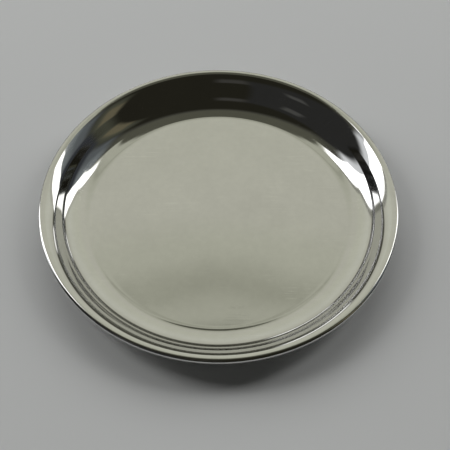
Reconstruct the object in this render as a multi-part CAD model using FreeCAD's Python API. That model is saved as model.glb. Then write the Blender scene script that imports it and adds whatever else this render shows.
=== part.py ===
import FreeCAD, Part
import os
from math import cos, radians, sin, tan

# Paten plate: one spun sheet dish whose edge is rolled round a stiffening wire.
# The plate stands on +Z = 0, with the origin at the centre of the flat underside
# and +Z up the axis of revolution. Lengths are in millimetres, angles in degrees.
# Every slope is the tilt of the section from level, measured going outward.

# Sheet and wire
SHEET_THICKNESS = 0.9
WIRE_RADIUS = 1.3
WIRE_CLEARANCE = 0.05

# Plan sizes
RIM_RADIUS = 125.0
FLOOR_RADIUS = 91.0

# Upper surface of the section, from the floor outward. The hollow foot of the wall
# tightens from the cove radius to the turn radius, runs straight for a short way, then
# bends over a convex knee to the flange.
COVE_RADIUS = 27.0
TURN_SLOPE = 30.0
TURN_RADIUS = 17.0
WALL_SLOPE = 58.0
KNEE_RADIUS = 12.0
FLANGE_INNER_SLOPE = 44.0
FLANGE_OUTER_SLOPE = 28.0
FLANGE_WIDTH = 5.1
SHOULDER_RADIUS = 8.0
SHOULDER_SLOPE = 20.0

# How far round the wire the sheet is rolled, from the level top of the rim
ROLL_WRAP = 240.0

# Derived sizes of the roll, and the width left over for the straight part of the wall
ROLL_INNER_RADIUS = WIRE_RADIUS + WIRE_CLEARANCE
ROLL_OUTER_RADIUS = ROLL_INNER_RADIUS + SHEET_THICKNESS
COVE_WIDTH = COVE_RADIUS * sin(radians(TURN_SLOPE))
TURN_WIDTH = TURN_RADIUS * (sin(radians(WALL_SLOPE)) - sin(radians(TURN_SLOPE)))
KNEE_WIDTH = KNEE_RADIUS * (sin(radians(WALL_SLOPE)) - sin(radians(FLANGE_INNER_SLOPE)))
BEAD_WIDTH = SHOULDER_RADIUS * sin(radians(SHOULDER_SLOPE)) + ROLL_OUTER_RADIUS
CURVED_WIDTH = COVE_WIDTH + TURN_WIDTH + KNEE_WIDTH + FLANGE_WIDTH + BEAD_WIDTH
WALL_RUN = RIM_RADIUS - FLOOR_RADIUS - CURVED_WIDTH
WALL_RISE = WALL_RUN * tan(radians(WALL_SLOPE))
FLANGE_SINE_DROP = sin(radians(FLANGE_INNER_SLOPE)) - sin(radians(FLANGE_OUTER_SLOPE))
FLANGE_RADIUS = FLANGE_WIDTH / FLANGE_SINE_DROP


def hollow_point(centre, radius, slope):
    """Point where a hollow (upward curving) arc reaches the given slope."""
    x = centre[0] + radius * sin(radians(slope))
    z = centre[1] - radius * cos(radians(slope))
    return (x, z)


def crown_point(centre, radius, slope):
    """Point where a crowned (downward curving) arc has the given slope."""
    x = centre[0] - radius * sin(radians(slope))
    z = centre[1] + radius * cos(radians(slope))
    return (x, z)


def hollow_centre(start, radius, slope):
    """Centre of a hollow arc that leaves the start point at the given slope."""
    x = start[0] - radius * sin(radians(slope))
    z = start[1] + radius * cos(radians(slope))
    return (x, z)


def crown_centre(start, radius, slope):
    """Centre of a crowned arc that leaves the start point at the given slope."""
    x = start[0] + radius * sin(radians(slope))
    z = start[1] - radius * cos(radians(slope))
    return (x, z)


def section_vector(point):
    """A section point (radius, height) as a vector in the XZ plane."""
    return FreeCAD.Vector(point[0], 0.0, point[1])


def line_edge(start, end):
    """Straight edge between two section points."""
    return Part.makeLine(section_vector(start), section_vector(end))


def arc_edge(locate, centre, radius, first_slope, last_slope):
    """Arc between two slopes, located by hollow_point or crown_point."""
    middle_slope = (first_slope + last_slope) / 2.0
    slopes = (first_slope, middle_slope, last_slope)
    points = [section_vector(locate(centre, radius, slope)) for slope in slopes]
    return Part.Arc(*points).toShape()


# Joints and arc centres of the section. The flange meets the shoulder of the rolled edge
# in a crease, and the roll takes over from the shoulder where the rim is level.
COVE_CENTRE = (FLOOR_RADIUS, SHEET_THICKNESS + COVE_RADIUS)
TURN_FOOT = hollow_point(COVE_CENTRE, COVE_RADIUS, TURN_SLOPE)
TURN_CENTRE = hollow_centre(TURN_FOOT, TURN_RADIUS, TURN_SLOPE)
WALL_FOOT = hollow_point(TURN_CENTRE, TURN_RADIUS, WALL_SLOPE)
WALL_TOP = (WALL_FOOT[0] + WALL_RUN, WALL_FOOT[1] + WALL_RISE)
KNEE_CENTRE = crown_centre(WALL_TOP, KNEE_RADIUS, WALL_SLOPE)
KNEE_TOP = crown_point(KNEE_CENTRE, KNEE_RADIUS, FLANGE_INNER_SLOPE)
FLANGE_CENTRE = crown_centre(KNEE_TOP, FLANGE_RADIUS, FLANGE_INNER_SLOPE)
FLANGE_EDGE = crown_point(FLANGE_CENTRE, FLANGE_RADIUS, FLANGE_OUTER_SLOPE)
SHOULDER_CENTRE = crown_centre(FLANGE_EDGE, SHOULDER_RADIUS, SHOULDER_SLOPE)
RIM_TOP = crown_point(SHOULDER_CENTRE, SHOULDER_RADIUS, 0.0)
ROLL_CENTRE = crown_centre(RIM_TOP, ROLL_OUTER_RADIUS, 0.0)


def upper_edges():
    """Floor, cove, wall, knee, flange, shoulder and outside of the roll."""
    floor = line_edge((0.0, SHEET_THICKNESS), (FLOOR_RADIUS, SHEET_THICKNESS))
    cove = arc_edge(hollow_point, COVE_CENTRE, COVE_RADIUS, 0.0, TURN_SLOPE)
    turn = arc_edge(hollow_point, TURN_CENTRE, TURN_RADIUS, TURN_SLOPE, WALL_SLOPE)
    wall = line_edge(WALL_FOOT, WALL_TOP)
    knee = arc_edge(crown_point, KNEE_CENTRE, KNEE_RADIUS, WALL_SLOPE, FLANGE_INNER_SLOPE)
    flange = arc_edge(
        crown_point, FLANGE_CENTRE, FLANGE_RADIUS, FLANGE_INNER_SLOPE, FLANGE_OUTER_SLOPE
    )
    shoulder = arc_edge(crown_point, SHOULDER_CENTRE, SHOULDER_RADIUS, SHOULDER_SLOPE, 0.0)
    roll = arc_edge(crown_point, ROLL_CENTRE, ROLL_OUTER_RADIUS, 0.0, -ROLL_WRAP)
    return [floor, cove, turn, wall, knee, flange, shoulder, roll]


def rolled_edge_inside():
    """End of the rolled sheet, the seat of the wire and the inside of the shoulder."""
    shoulder_radius = SHOULDER_RADIUS - SHEET_THICKNESS
    roll_tip = crown_point(ROLL_CENTRE, ROLL_OUTER_RADIUS, -ROLL_WRAP)
    seat_end = crown_point(ROLL_CENTRE, ROLL_INNER_RADIUS, -ROLL_WRAP)
    tip = line_edge(roll_tip, seat_end)
    seat = arc_edge(crown_point, ROLL_CENTRE, ROLL_INNER_RADIUS, -ROLL_WRAP, 0.0)
    shoulder = arc_edge(crown_point, SHOULDER_CENTRE, shoulder_radius, 0.0, SHOULDER_SLOPE)
    return [tip, seat, shoulder]


def underside_edges():
    """Underside of the flange, knee, wall, cove and base, back to the axis."""
    shoulder_radius = SHOULDER_RADIUS - SHEET_THICKNESS
    flange_radius = FLANGE_RADIUS - SHEET_THICKNESS
    knee_radius = KNEE_RADIUS - SHEET_THICKNESS
    turn_radius = TURN_RADIUS + SHEET_THICKNESS
    cove_radius = COVE_RADIUS + SHEET_THICKNESS
    shoulder_under = crown_point(SHOULDER_CENTRE, shoulder_radius, SHOULDER_SLOPE)
    flange_under = crown_point(FLANGE_CENTRE, flange_radius, FLANGE_OUTER_SLOPE)
    wall_top = crown_point(KNEE_CENTRE, knee_radius, WALL_SLOPE)
    wall_foot = hollow_point(TURN_CENTRE, turn_radius, WALL_SLOPE)
    step = line_edge(shoulder_under, flange_under)
    flange = arc_edge(
        crown_point, FLANGE_CENTRE, flange_radius, FLANGE_OUTER_SLOPE, FLANGE_INNER_SLOPE
    )
    knee = arc_edge(crown_point, KNEE_CENTRE, knee_radius, FLANGE_INNER_SLOPE, WALL_SLOPE)
    wall = line_edge(wall_top, wall_foot)
    turn = arc_edge(hollow_point, TURN_CENTRE, turn_radius, WALL_SLOPE, TURN_SLOPE)
    cove = arc_edge(hollow_point, COVE_CENTRE, cove_radius, TURN_SLOPE, 0.0)
    base = line_edge((FLOOR_RADIUS, 0.0), (0.0, 0.0))
    axis = line_edge((0.0, 0.0), (0.0, SHEET_THICKNESS))
    return [step, flange, knee, wall, turn, cove, base, axis]


def dish():
    """The spun sheet: floor, wall, flange and rolled edge in one piece."""
    section = Part.Face(Part.Wire(upper_edges() + rolled_edge_inside() + underside_edges()))
    return section.revolve(FreeCAD.Vector(0, 0, 0), FreeCAD.Vector(0, 0, 1), 360)


def rim_wire():
    """The round stiffening wire that lies inside the rolled edge."""
    seat_centre = FreeCAD.Vector(0, 0, ROLL_CENTRE[1])
    return Part.makeTorus(ROLL_CENTRE[0], WIRE_RADIUS, seat_centre)


PIECES = {"dish": dish, "rim_wire": rim_wire}

os.makedirs("parts", exist_ok=True)
for node, make_piece in PIECES.items():
    make_piece().exportStep(f"parts/{node}.step")
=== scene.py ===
import math

import bmesh
import bpy
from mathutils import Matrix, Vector


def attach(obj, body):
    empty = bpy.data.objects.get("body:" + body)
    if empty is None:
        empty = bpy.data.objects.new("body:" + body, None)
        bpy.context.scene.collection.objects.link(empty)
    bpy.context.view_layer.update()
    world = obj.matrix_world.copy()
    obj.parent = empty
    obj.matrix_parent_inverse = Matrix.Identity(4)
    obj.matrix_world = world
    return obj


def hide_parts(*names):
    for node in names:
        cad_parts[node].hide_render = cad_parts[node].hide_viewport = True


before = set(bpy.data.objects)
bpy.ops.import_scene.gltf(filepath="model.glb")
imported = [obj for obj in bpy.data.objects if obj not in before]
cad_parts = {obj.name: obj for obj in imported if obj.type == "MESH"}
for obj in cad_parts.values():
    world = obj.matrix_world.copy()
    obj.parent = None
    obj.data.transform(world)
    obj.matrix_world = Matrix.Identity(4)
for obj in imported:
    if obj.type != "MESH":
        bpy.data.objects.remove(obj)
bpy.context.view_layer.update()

MM = 0.001

# ---------------------------------------------------------------- the plate's section, in millimetres
SHEET = 0.9
ROLL_INNER = 1.35
ROLL_OUTER = ROLL_INNER + SHEET
RIM_RADIUS = 125.0
FLOOR_RADIUS = 91.0
COVE_RADIUS = 27.0
TURN_SLOPE = 30.0
TURN_RADIUS = 17.0
WALL_SLOPE = 58.0
KNEE_RADIUS = 12.0
FLANGE_INNER_SLOPE = 44.0
FLANGE_OUTER_SLOPE = 28.0
FLANGE_WIDTH = 5.1
SHOULDER_RADIUS = 8.0
SHOULDER_SLOPE = 20.0
ROLL_WRAP = 240.0

SEGMENTS = 720


def sin_deg(angle):
    return math.sin(math.radians(angle))


def cos_deg(angle):
    return math.cos(math.radians(angle))


COVE_WIDTH = COVE_RADIUS * sin_deg(TURN_SLOPE)
TURN_WIDTH = TURN_RADIUS * (sin_deg(WALL_SLOPE) - sin_deg(TURN_SLOPE))
BEAD_WIDTH = SHOULDER_RADIUS * sin_deg(SHOULDER_SLOPE) + ROLL_OUTER
KNEE_WIDTH = KNEE_RADIUS * (sin_deg(WALL_SLOPE) - sin_deg(FLANGE_INNER_SLOPE))
WALL_RUN = RIM_RADIUS - FLOOR_RADIUS - COVE_WIDTH - TURN_WIDTH - KNEE_WIDTH - FLANGE_WIDTH - BEAD_WIDTH
FLANGE_RADIUS = FLANGE_WIDTH / (sin_deg(FLANGE_INNER_SLOPE) - sin_deg(FLANGE_OUTER_SLOPE))


def hollow(centre, radius, slope):
    return (centre[0] + radius * sin_deg(slope), centre[1] - radius * cos_deg(slope))


def crown(centre, radius, slope):
    return (centre[0] - radius * sin_deg(slope), centre[1] + radius * cos_deg(slope))


def crown_centre(start, radius, slope):
    return (start[0] + radius * sin_deg(slope), start[1] - radius * cos_deg(slope))


COVE_CENTRE = (FLOOR_RADIUS, SHEET + COVE_RADIUS)
TURN_FOOT = hollow(COVE_CENTRE, COVE_RADIUS, TURN_SLOPE)
TURN_CENTRE = (
    TURN_FOOT[0] - TURN_RADIUS * sin_deg(TURN_SLOPE),
    TURN_FOOT[1] + TURN_RADIUS * cos_deg(TURN_SLOPE),
)
WALL_FOOT = hollow(TURN_CENTRE, TURN_RADIUS, WALL_SLOPE)
WALL_TOP = (WALL_FOOT[0] + WALL_RUN, WALL_FOOT[1] + WALL_RUN * sin_deg(WALL_SLOPE) / cos_deg(WALL_SLOPE))
KNEE_CENTRE = crown_centre(WALL_TOP, KNEE_RADIUS, WALL_SLOPE)
KNEE_TOP = crown(KNEE_CENTRE, KNEE_RADIUS, FLANGE_INNER_SLOPE)
FLANGE_CENTRE = crown_centre(KNEE_TOP, FLANGE_RADIUS, FLANGE_INNER_SLOPE)
FLANGE_EDGE = crown(FLANGE_CENTRE, FLANGE_RADIUS, FLANGE_OUTER_SLOPE)
SHOULDER_CENTRE = crown_centre(FLANGE_EDGE, SHOULDER_RADIUS, SHOULDER_SLOPE)
RIM_TOP = crown(SHOULDER_CENTRE, SHOULDER_RADIUS, 0.0)
ROLL_CENTRE = crown_centre(RIM_TOP, ROLL_OUTER, 0.0)


def arc(locate, centre, radius, first, last, count):
    """Section points from one slope to another, both ends included."""
    slopes = [first + (last - first) * i / count for i in range(count + 1)]
    return [locate(centre, radius, s) for s in slopes]


# The spun floor is very slightly crowned in the middle, with a shallow ring where it
# meets the cove; both are far under a millimetre.
CROWN_HEIGHT = 0.30
RING_HEIGHT = 0.022
RING_WIDTH = 1.2


def floor_height(r):
    u = r / FLOOR_RADIUS
    fall = 0.0
    if u < 0.86:
        fall = CROWN_HEIGHT * (0.5 + 0.5 * math.cos(math.pi * u / 0.86))
    ring = RING_HEIGHT * math.exp(-(((r - FLOOR_RADIUS + 1.2) / RING_WIDTH) ** 2))
    return SHEET + fall + ring


def floor_points():
    radii = [FLOOR_RADIUS * i / 40 for i in range(1, 39)]
    radii += [FLOOR_RADIUS - 4.0 + 0.2 * i for i in range(20)]
    radii = sorted(set(round(r, 4) for r in radii))
    return [(r, floor_height(r)) for r in radii if r < FLOOR_RADIUS]


def dish_section():
    """Closed run of section points from the floor's middle, over the rim and back under."""
    top = floor_points()
    top += arc(hollow, COVE_CENTRE, COVE_RADIUS, 0.0, TURN_SLOPE, 36)
    top += arc(hollow, TURN_CENTRE, TURN_RADIUS, TURN_SLOPE, WALL_SLOPE, 32)[1:]
    top += arc(crown, KNEE_CENTRE, KNEE_RADIUS, WALL_SLOPE, FLANGE_INNER_SLOPE, 16)
    top += arc(crown, FLANGE_CENTRE, FLANGE_RADIUS, FLANGE_INNER_SLOPE, FLANGE_OUTER_SLOPE, 24)[1:]
    roll = arc(crown, SHOULDER_CENTRE, SHOULDER_RADIUS, SHOULDER_SLOPE, 0.0, 16)[1:]
    roll += arc(crown, ROLL_CENTRE, ROLL_OUTER, 0.0, -ROLL_WRAP, 80)[1:]
    seat = arc(crown, ROLL_CENTRE, ROLL_INNER, -ROLL_WRAP, 0.0, 40)
    seat += arc(crown, SHOULDER_CENTRE, SHOULDER_RADIUS - SHEET, 0.0, SHOULDER_SLOPE, 8)[1:]
    under = arc(crown, FLANGE_CENTRE, FLANGE_RADIUS - SHEET, FLANGE_OUTER_SLOPE, FLANGE_INNER_SLOPE, 16)
    under += arc(crown, KNEE_CENTRE, KNEE_RADIUS - SHEET, FLANGE_INNER_SLOPE, WALL_SLOPE, 12)[1:]
    under += arc(hollow, TURN_CENTRE, TURN_RADIUS + SHEET, WALL_SLOPE, TURN_SLOPE, 20)
    under += arc(hollow, COVE_CENTRE, COVE_RADIUS + SHEET, TURN_SLOPE, 0.0, 24)[1:]
    under += [(FLOOR_RADIUS * (1.0 - i / 10), 0.0) for i in range(1, 10)]
    return top, roll, seat, under


def revolve(name, points, first_z, last_z):
    """Mesh of revolution about +Z, closed on the axis at both ends."""
    verts, faces = [(0.0, 0.0, first_z * MM)], []
    for r, z in points:
        for i in range(SEGMENTS):
            a = 2.0 * math.pi * i / SEGMENTS
            verts.append((r * MM * math.cos(a), r * MM * math.sin(a), z * MM))
    verts.append((0.0, 0.0, last_z * MM))
    last = len(verts) - 1
    for i in range(SEGMENTS):
        j = (i + 1) % SEGMENTS
        faces.append((0, 1 + i, 1 + j))
        for k in range(len(points) - 1):
            a = 1 + k * SEGMENTS
            b = a + SEGMENTS
            faces.append((a + i, b + i, b + j, a + j))
        e = 1 + (len(points) - 1) * SEGMENTS
        faces.append((e + i, last, e + j))
    mesh = bpy.data.meshes.new(name)
    mesh.from_pydata(verts, [], faces)
    mesh.update()
    obj = bpy.data.objects.new(name, mesh)
    bpy.context.scene.collection.objects.link(obj)
    return obj


def shade(obj, sharp_degrees=7.0):
    for poly in obj.data.polygons:
        poly.use_smooth = True
    obj.data.set_sharp_from_angle(angle=math.radians(sharp_degrees))


# ---------------------------------------------------------------- materials
# Wiping marks: direction in degrees, fineness, share of the plate they cover, offset
SCRATCHES = ((24.0, 9.0, 0.46, 0.3), (-38.0, 11.0, 0.42, 1.7), (81.0, 8.0, 0.40, 2.9))


def new_material(name):
    mat = bpy.data.materials.new(name)
    mat.use_nodes = True
    tree = mat.node_tree
    bsdf = tree.nodes["Principled BSDF"]
    return mat, tree, bsdf


def node(tree, kind, **values):
    made = tree.nodes.new(kind)
    for key, value in values.items():
        if key in made.inputs:
            made.inputs[key].default_value = value
        else:
            setattr(made, key, value)
    return made


class Surface:
    """Small helpers for building procedural masks from the object's own coordinates."""

    def __init__(self, tree):
        self.tree = tree
        self.coords = node(tree, "ShaderNodeTexCoord").outputs["Object"]
        split = node(tree, "ShaderNodeSeparateXYZ")
        tree.links.new(self.coords, split.inputs[0])
        x, y = split.outputs[0], split.outputs[1]
        self.radius = self.math("SQRT", self.math("ADD", self.math("MULTIPLY", x, x), self.math("MULTIPLY", y, y)))

    def math(self, operation, a, b=None):
        made = node(self.tree, "ShaderNodeMath", operation=operation)
        for socket, value in zip(made.inputs, (a, b)):
            if isinstance(value, (int, float)):
                socket.default_value = value
            elif value is not None:
                self.tree.links.new(value, socket)
        return made.outputs[0]

    def noise(self, scale, detail=3.0, roughness=0.55, vector=None, offset=0.0):
        made = node(self.tree, "ShaderNodeTexNoise", Scale=scale, Detail=detail, Roughness=roughness)
        source = self.coords if vector is None else vector
        if offset:
            shift = node(self.tree, "ShaderNodeVectorMath", operation="ADD")
            self.tree.links.new(source, shift.inputs[0])
            shift.inputs[1].default_value = (offset, offset * 0.7, offset * 0.4)
            source = shift.outputs[0]
        self.tree.links.new(source, made.inputs["Vector"])
        return made.outputs["Fac"]

    def span(self, value, low, high, to_low=0.0, to_high=1.0):
        made = node(self.tree, "ShaderNodeMapRange", interpolation_type="SMOOTHSTEP")
        for name, number in (("From Min", low), ("From Max", high), ("To Min", to_low), ("To Max", to_high)):
            made.inputs[name].default_value = number
        self.tree.links.new(value, made.inputs["Value"])
        return made.outputs["Result"]

    def scratches(self, angle, fineness, share, offset):
        """Fine straight wiping marks that all run one way, in sparse patches."""
        turn = node(self.tree, "ShaderNodeMapping")
        turn.inputs["Rotation"].default_value = (0.0, 0.0, math.radians(angle))
        turn.inputs["Scale"].default_value = (1.0, 60.0, 1.0)
        self.tree.links.new(self.coords, turn.inputs["Vector"])
        lines = self.noise(fineness, 2.0, 0.6, turn.outputs[0], offset)
        near = self.math("ABSOLUTE", self.math("SUBTRACT", lines, 0.5))
        thin = self.span(near, 0.012, 0.0)
        patch = self.span(self.noise(30.0, 2.0, 0.5, offset=offset + 3.0), 1.0 - share, 1.0 - share + 0.08)
        return self.math("MULTIPLY", thin, patch)


def polished_metal():
    """Mirror polish with turning lines, wiping scratches, smudges and a worn edge."""
    mat, tree, bsdf = new_material("polished_sheet")
    link = tree.links.new
    s = Surface(tree)
    bsdf.inputs["Metallic"].default_value = 1.0

    radial = node(tree, "ShaderNodeCombineXYZ")
    link(s.radius, radial.inputs[0])
    turning = s.noise(1900.0, 3.0, 0.7, radial.outputs[0])
    broad_turning = s.noise(210.0, 2.0, 0.5, radial.outputs[0], offset=4.0)
    haze = s.noise(26.0, 5.0, 0.62)
    fine_haze = s.noise(190.0, 4.0, 0.6, offset=2.0)
    smudge = s.span(s.noise(15.0, 4.0, 0.6, offset=5.0), 0.55, 0.70)
    marks = [s.scratches(*spec) for spec in SCRATCHES]
    scratch = marks[0]
    for mark in marks[1:]:
        scratch = s.math("MAXIMUM", scratch, mark)
    edge = s.span(s.radius, 0.1212, 0.1238)
    rub = s.math("MULTIPLY", edge, s.span(s.noise(75.0, 4.0, 0.7, offset=7.0), 0.44, 0.62))

    tone = s.math("ADD", s.span(haze, 0.30, 0.72, 0.605, 0.636), s.span(fine_haze, 0.30, 0.70, -0.008, 0.008))
    tone = s.math("ADD", tone, s.span(turning, 0.30, 0.70, -0.006, 0.006))
    tone = s.math("SUBTRACT", tone, s.math("MULTIPLY", smudge, 0.016))
    tone = s.math("ADD", tone, s.math("MULTIPLY", scratch, 0.05))
    tone = s.math("SUBTRACT", tone, s.math("MULTIPLY", rub, 0.05))
    colour = node(tree, "ShaderNodeCombineColor")
    link(tone, colour.inputs[0])
    link(s.math("MULTIPLY", tone, 0.998), colour.inputs[1])
    link(s.math("MULTIPLY", tone, 0.984), colour.inputs[2])
    link(colour.outputs[0], bsdf.inputs["Base Color"])

    rough = s.math("ADD", s.span(haze, 0.30, 0.75, 0.030, 0.060), s.span(turning, 0.35, 0.75, 0.0, 0.020))
    rough = s.math("ADD", rough, s.math("MULTIPLY", smudge, 0.035))
    rough = s.math("ADD", rough, s.math("MULTIPLY", scratch, 0.10))
    rough = s.math("ADD", rough, s.math("MULTIPLY", rub, 0.12))
    link(rough, bsdf.inputs["Roughness"])

    sway = s.math("MULTIPLY", s.noise(24.0, 2.0, 0.5, offset=9.0), 0.030)
    rings = s.math("MULTIPLY", broad_turning, 0.0020)
    fine = s.math("MULTIPLY", turning, 0.00010)
    height = s.math("ADD", s.math("ADD", sway, rings), s.math("ADD", fine, s.math("MULTIPLY", scratch, -0.0010)))
    bump = node(tree, "ShaderNodeBump", Strength=1.0, Distance=0.001)
    link(height, bump.inputs["Height"])
    link(bump.outputs[0], bsdf.inputs["Normal"])
    return mat


def drawn_wire():
    mat, tree, bsdf = new_material("drawn_wire")
    link = tree.links.new
    bsdf.inputs["Metallic"].default_value = 1.0
    coords = node(tree, "ShaderNodeTexCoord")
    noise = node(tree, "ShaderNodeTexNoise", Scale=900.0, Detail=4.0, Roughness=0.6)
    link(coords.outputs["Object"], noise.inputs["Vector"])
    tint = node(tree, "ShaderNodeValToRGB")
    tint.color_ramp.elements[0].color = (0.42, 0.42, 0.43, 1)
    tint.color_ramp.elements[1].color = (0.62, 0.62, 0.62, 1)
    link(noise.outputs["Fac"], tint.inputs["Fac"])
    link(tint.outputs["Color"], bsdf.inputs["Base Color"])
    bsdf.inputs["Roughness"].default_value = 0.35
    return mat


# ---------------------------------------------------------------- pieces
top, roll, seat, under = dish_section()
dish = revolve("dish_sheet", top + roll + seat + under, floor_height(0.0), 0.0)
shade(dish)
dish.data.materials.append(polished_metal())
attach(dish, "root")
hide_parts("dish")

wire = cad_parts["rim_wire"]
wire.data.materials.clear()
wire.data.materials.append(drawn_wire())

# ---------------------------------------------------------------- studio
class Field:
    """Builds a shader value or colour as a function of direction, from small smooth steps."""

    def __init__(self, tree):
        self.tree = tree

    def math(self, operation, a, b=None, c=None):
        made = self.tree.nodes.new("ShaderNodeMath")
        made.operation = operation
        for socket, value in zip(made.inputs, (a, b, c)):
            if isinstance(value, (int, float)):
                socket.default_value = value
            elif value is not None:
                self.tree.links.new(value, socket)
        return made.outputs[0]

    def step(self, value, start, end):
        """Smooth step from 0 at start to 1 at end."""
        made = self.tree.nodes.new("ShaderNodeMapRange")
        made.interpolation_type = "SMOOTHSTEP"
        self.tree.links.new(value, made.inputs["Value"])
        for name, number in (("From Min", start), ("From Max", end)):
            if isinstance(number, (int, float)):
                made.inputs[name].default_value = number
            else:
                self.tree.links.new(number, made.inputs[name])
        return made.outputs["Result"]

    def band(self, value, low, high, soft):
        rise = self.step(value, low - soft, low + soft)
        fall = self.step(value, high + soft, high - soft)
        return self.math("MULTIPLY", rise, fall)

    def all_of(self, *masks):
        result = masks[0]
        for mask in masks[1:]:
            result = self.math("MULTIPLY", result, mask)
        return result

    def over(self, below, colour, mask, amount=1.0):
        made = self.tree.nodes.new("ShaderNodeMix")
        made.data_type = "RGBA"
        made.inputs["A"].default_value = (0, 0, 0, 1)
        sockets = [s for s in made.inputs if s.type == "RGBA"]
        factor = made.inputs[0]
        if amount != 1.0:
            mask = self.math("MULTIPLY", mask, amount)
        self.tree.links.new(mask, factor)
        for socket, value in zip(sockets, (below, colour)):
            if isinstance(value, tuple):
                socket.default_value = (*value, 1)
            else:
                self.tree.links.new(value, socket)
        return [s for s in made.outputs if s.type == "RGBA"][0]


def shade_of(red, green=None, blue=None):
    """Linear light behind a display shade from 0 to 255, divided by the metal's own reflectance so that a painted
    reflection comes back from the metal at this shade.
    """
    green = red if green is None else green
    blue = green if blue is None else blue
    linear = [((v / 255 + 0.055) / 1.055) ** 2.4 for v in (red, green, blue)]
    return tuple(v / METAL_REFLECTANCE for v in linear)


METAL_REFLECTANCE = 0.62


def painted_reflection_colours(tree):
    """Colour of the painted reflections in each direction, a studio room painted for the metal to mirror: azimuth
    0 is +X, 90 is +Y; elevation is above level.
    """
    f = Field(tree)
    coords = tree.nodes.new("ShaderNodeTexCoord")
    unit = tree.nodes.new("ShaderNodeVectorMath")
    unit.operation = "NORMALIZE"
    tree.links.new(coords.outputs["Object"], unit.inputs[0])
    split = tree.nodes.new("ShaderNodeSeparateXYZ")
    tree.links.new(unit.outputs[0], split.inputs[0])
    x, y, z = split.outputs
    elevation = f.math("DEGREES", f.math("ARCSINE", z))
    azimuth = f.math("DEGREES", f.math("ARCTAN2", y, x))
    around = f.math("MODULO", f.math("ADD", azimuth, 360.0), 360.0)
    side = f.math("ABSOLUTE", f.math("SUBTRACT", azimuth, 90.0))
    side = f.math("MINIMUM", side, f.math("SUBTRACT", 360.0, side))

    # painted reflections of the dark surroundings, the cap overhead, the warm and blue strips and the dim patches
    colour = shade_of(30, 29, 23)
    rear = f.step(side, 112.0, 92.0)
    over_camera = f.step(y, -0.05, 0.10)
    colour = f.over(colour, shade_of(62, 62, 55), f.all_of(rear, over_camera))

    cap = f.all_of(f.step(elevation, 58.0, 66.0), f.step(y, 0.04, 0.14), f.step(side, 115.0, 90.0))
    colour = f.over(colour, shade_of(73, 73, 63), cap)

    right = f.all_of(f.band(azimuth, -22.0, -3.0, 6.0), f.band(elevation, 4.0, 60.0, 6.0))
    colour = f.over(colour, shade_of(64, 65, 55), right)
    warm = f.all_of(f.band(around, 336.0, 349.0, 3.0), f.band(elevation, 16.0, 49.0, 5.0))
    colour = f.over(colour, shade_of(90, 85, 68), warm)
    blue_height = f.all_of(f.step(azimuth, 30.0, 26.0), f.band(elevation, -10.0, 55.0, 6.0))
    colour = f.over(colour, shade_of(80, 84, 86), f.all_of(f.step(azimuth, -6.0, 5.0), blue_height))
    colour = f.over(colour, shade_of(106, 111, 112), f.all_of(f.step(azimuth, 9.0, 21.0), blue_height))
    blue_foot = f.all_of(f.step(azimuth, -10.0, -4.0), f.step(azimuth, 29.0, 25.0), f.step(elevation, 27.0, 13.0))
    colour = f.over(colour, shade_of(46, 48, 51), blue_foot)
    left_dark = f.all_of(f.band(around, 172.0, 250.0, 4.0), f.band(elevation, -10.0, 56.0, 5.0))
    colour = f.over(colour, shade_of(37, 37, 36), left_dark)
    grey_patch = f.all_of(f.band(around, 213.0, 226.0, 3.0), f.band(elevation, 24.0, 41.0, 4.0))
    colour = f.over(colour, shade_of(64, 64, 62), grey_patch)
    soft_patch = f.all_of(f.band(around, 250.0, 271.0, 5.0), f.band(elevation, 43.0, 57.0, 5.0))
    colour = f.over(colour, shade_of(54, 53, 50), soft_patch)

    # painted reflection of the pale wall, its shade changing with elevation
    top_edge = f.math("ADD", 61.6, f.math("MULTIPLY", f.step(side, 2.0, 22.0), 4.4))
    panel_up = f.step(f.math("SUBTRACT", top_edge, elevation), -0.9, 0.9)
    tone = tree.nodes.new("ShaderNodeValToRGB")
    tone.color_ramp.interpolation = "EASE"
    stops = PALE_WALL_REFLECTION_TONES
    while len(tone.color_ramp.elements) < len(stops):
        tone.color_ramp.elements.new(0.5)
    for element, (at, shade_value) in zip(tone.color_ramp.elements, stops):
        element.position = at / 90.0
        element.color = (*shade_of(*shade_value), 1)
    tree.links.new(f.math("DIVIDE", elevation, 90.0), tone.inputs["Fac"])
    panel = f.all_of(f.band(azimuth, 30.0, 147.0, 1.5), panel_up)
    colour = f.over(colour, tone.outputs["Color"], panel)

    # painted reflections of a tall window at each side of the pale wall, leaning in a little towards the top, with
    # frame lines and a painted glow beside the left window
    lean = f.math("MAXIMUM", 0.0, f.math("SUBTRACT", elevation, 42.0))
    right_at = f.math("SUBTRACT", azimuth, f.math("MULTIPLY", lean, 0.75))
    frame_line = f.all_of(f.band(right_at, 35.0, 38.5, 1.5), f.band(elevation, 6.0, 60.0, 4.0))
    colour = f.over(colour, shade_of(140, 140, 130), frame_line, 0.6)
    sill = f.math("MULTIPLY", f.math("MAXIMUM", 0.0, f.math("SUBTRACT", 20.0, elevation)), 0.22)
    right_at = f.math("SUBTRACT", right_at, sill)
    window = f.all_of(f.band(right_at, 24.0, 35.2, 1.0), f.band(elevation, 1.5, 58.0, 1.5))
    colour = f.over(colour, (2.6, 2.6, 2.5), window)

    left_at = f.math("ADD", azimuth, f.math("MULTIPLY", lean, 0.80))
    frame_line = f.all_of(f.band(left_at, 141.5, 145.5, 1.2), f.band(elevation, 6.0, 62.0, 4.0))
    colour = f.over(colour, shade_of(112, 112, 104), frame_line, 0.8)
    halo = f.all_of(f.band(left_at, 160.0, 172.0, 4.0), f.band(elevation, 0.0, 50.0, 6.0))
    colour = f.over(colour, shade_of(196, 198, 200), halo)
    window = f.all_of(f.band(left_at, 145.8, 164.0, 1.0), f.band(elevation, 2.0, 63.0, 2.0))
    colour = f.over(colour, (3.2, 3.2, 3.2), window)

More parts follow.
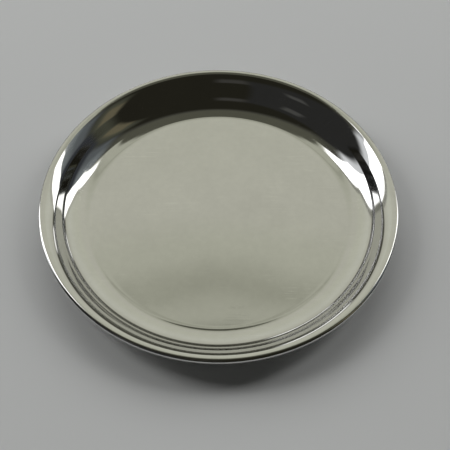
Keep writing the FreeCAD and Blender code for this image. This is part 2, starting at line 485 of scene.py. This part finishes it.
    # painted reflections of low bright gaps under the wall
    for low, high in ((46.0, 55.0), (97.0, 109.0)):
        gap = f.all_of(f.band(azimuth, low, high, 1.5), f.band(elevation, 3.6, 7.0, 1.0))
        colour = f.over(colour, (1.7, 1.7, 1.65), gap)
    return colour


# Painted reflection of the pale wall: elevation in degrees and display shade. The dip at 59.3 degrees is painted
# shade that, with the shallow floor ring, draws the dark line near the front of the plate's floor.
PALE_WALL_REFLECTION_TONES = (
    (6.0, (58, 58, 50)),
    (11.5, (165, 165, 153)),
    (26.0, (174, 175, 163)),
    (44.0, (169, 170, 156)),
    (53.8, (167, 167, 155)),
    (57.2, (160, 161, 147)),
    (59.3, (142, 143, 129)),
    (60.4, (156, 157, 143)),
)

DOME_RADIUS = 5.0


def dome():
    """Painted reflections of the studio's walls and windows on a glowing dome, seen only in the metal's
    reflections: hidden from the camera, from diffuse light and from shadows.
    """
    mesh = bpy.data.meshes.new("painted_reflection_dome")
    bm = bmesh.new()
    bmesh.ops.create_uvsphere(bm, u_segments=64, v_segments=32, radius=DOME_RADIUS)
    bm.to_mesh(mesh)
    bm.free()
    obj = bpy.data.objects.new("painted_reflection_dome", mesh)
    bpy.context.scene.collection.objects.link(obj)
    mat = bpy.data.materials.new("painted_reflection_dome")
    mat.use_nodes = True
    tree = mat.node_tree
    tree.nodes.clear()
    glow = tree.nodes.new("ShaderNodeEmission")
    tree.links.new(painted_reflection_colours(tree), glow.inputs["Color"])
    out = tree.nodes.new("ShaderNodeOutputMaterial")
    tree.links.new(glow.outputs[0], out.inputs[0])
    mesh.materials.append(mat)
    obj.visible_camera = False
    obj.visible_diffuse = False
    obj.visible_shadow = False


def backdrop_plane(name, size, height, colour):
    mesh = bpy.data.meshes.new(name)
    h = size / 2
    mesh.from_pydata([(-h, -h, height), (h, -h, height), (h, h, height), (-h, h, height)], [], [(0, 1, 2, 3)])
    obj = bpy.data.objects.new(name, mesh)
    bpy.context.scene.collection.objects.link(obj)
    mat, tree, bsdf = new_material(name)
    bsdf.inputs["Base Color"].default_value = (*colour, 1)
    bsdf.inputs["Roughness"].default_value = 0.9
    bsdf.inputs["Specular IOR Level"].default_value = 0.1
    mesh.materials.append(mat)
    return obj


def soft_light(name, azimuth, elevation, distance, size, watts):
    """A soft box aimed at the plate that lights surfaces but isn't mirrored in the metal."""
    data = bpy.data.lights.new(name, "AREA")
    data.shape = "RECTANGLE"
    data.size, data.size_y = size
    data.energy = watts
    obj = bpy.data.objects.new(name, data)
    bpy.context.scene.collection.objects.link(obj)
    where = Vector((
        cos_deg(elevation) * cos_deg(azimuth),
        cos_deg(elevation) * sin_deg(azimuth),
        sin_deg(elevation),
    ))
    obj.location = where * distance
    obj.rotation_euler = where.to_track_quat("Z", "Y").to_euler()
    obj.visible_glossy = False


def far_backdrop():
    """A plain pale sphere behind the table, seen only by the camera, for low viewing angles."""
    mesh = bpy.data.meshes.new("far_backdrop")
    bm = bmesh.new()
    bmesh.ops.create_uvsphere(bm, u_segments=64, v_segments=32, radius=9.0)
    bm.to_mesh(mesh)
    bm.free()
    obj = bpy.data.objects.new("far_backdrop", mesh)
    bpy.context.scene.collection.objects.link(obj)
    mat = bpy.data.materials.new("far_backdrop")
    mat.use_nodes = True
    tree = mat.node_tree
    tree.nodes.clear()
    glow = tree.nodes.new("ShaderNodeEmission")
    glow.inputs["Color"].default_value = (0.376, 0.384, 0.366, 1)
    out = tree.nodes.new("ShaderNodeOutputMaterial")
    tree.links.new(glow.outputs[0], out.inputs[0])
    mesh.materials.append(mat)
    obj.visible_diffuse = False
    obj.visible_glossy = False
    obj.visible_shadow = False


dome()
far_backdrop()
backdrop_plane("table", 30.0, -0.0002, (0.62, 0.63, 0.62))
soft_light("window_left", 156.0, 32.0, 4.0, (1.3, 3.0), 66.0)
soft_light("window_right", 30.0, 32.0, 4.0, (0.8, 3.0), 46.0)
soft_light("pale_wall", 92.0, 42.0, 4.0, (4.0, 3.0), 68.0)

world = bpy.data.worlds.new("studio")
bpy.context.scene.world = world
world.use_nodes = True
world.node_tree.nodes["Background"].inputs["Color"].default_value = (0.37, 0.37, 0.36, 1)
world.node_tree.nodes["Background"].inputs["Strength"].default_value = 0.12

# ---------------------------------------------------------------- camera
RIM_LEVEL = RIM_TOP[1] * MM
CAMERA_ELEVATION = 53.9
CAMERA_DISTANCE = 6.15 * RIM_RADIUS * MM
SENSOR_WIDTH = 36.0
LENS = 88.5
SHIFT = (0.0142, -0.0523)

cam_data = bpy.data.cameras.new("camera")
camera = bpy.data.objects.new("camera", cam_data)
bpy.context.scene.collection.objects.link(camera)
target = Vector((0.0, 0.0, RIM_LEVEL))
offset = Vector((0.0, -cos_deg(CAMERA_ELEVATION), sin_deg(CAMERA_ELEVATION)))
camera.location = target + offset * CAMERA_DISTANCE
camera.rotation_euler = (-offset).to_track_quat("-Z", "Y").to_euler()
cam_data.sensor_width = SENSOR_WIDTH
cam_data.lens = LENS
cam_data.shift_x, cam_data.shift_y = SHIFT
cam_data.clip_end = 50.0
bpy.context.scene.camera = camera

bpy.context.scene.view_settings.view_transform = "Standard"
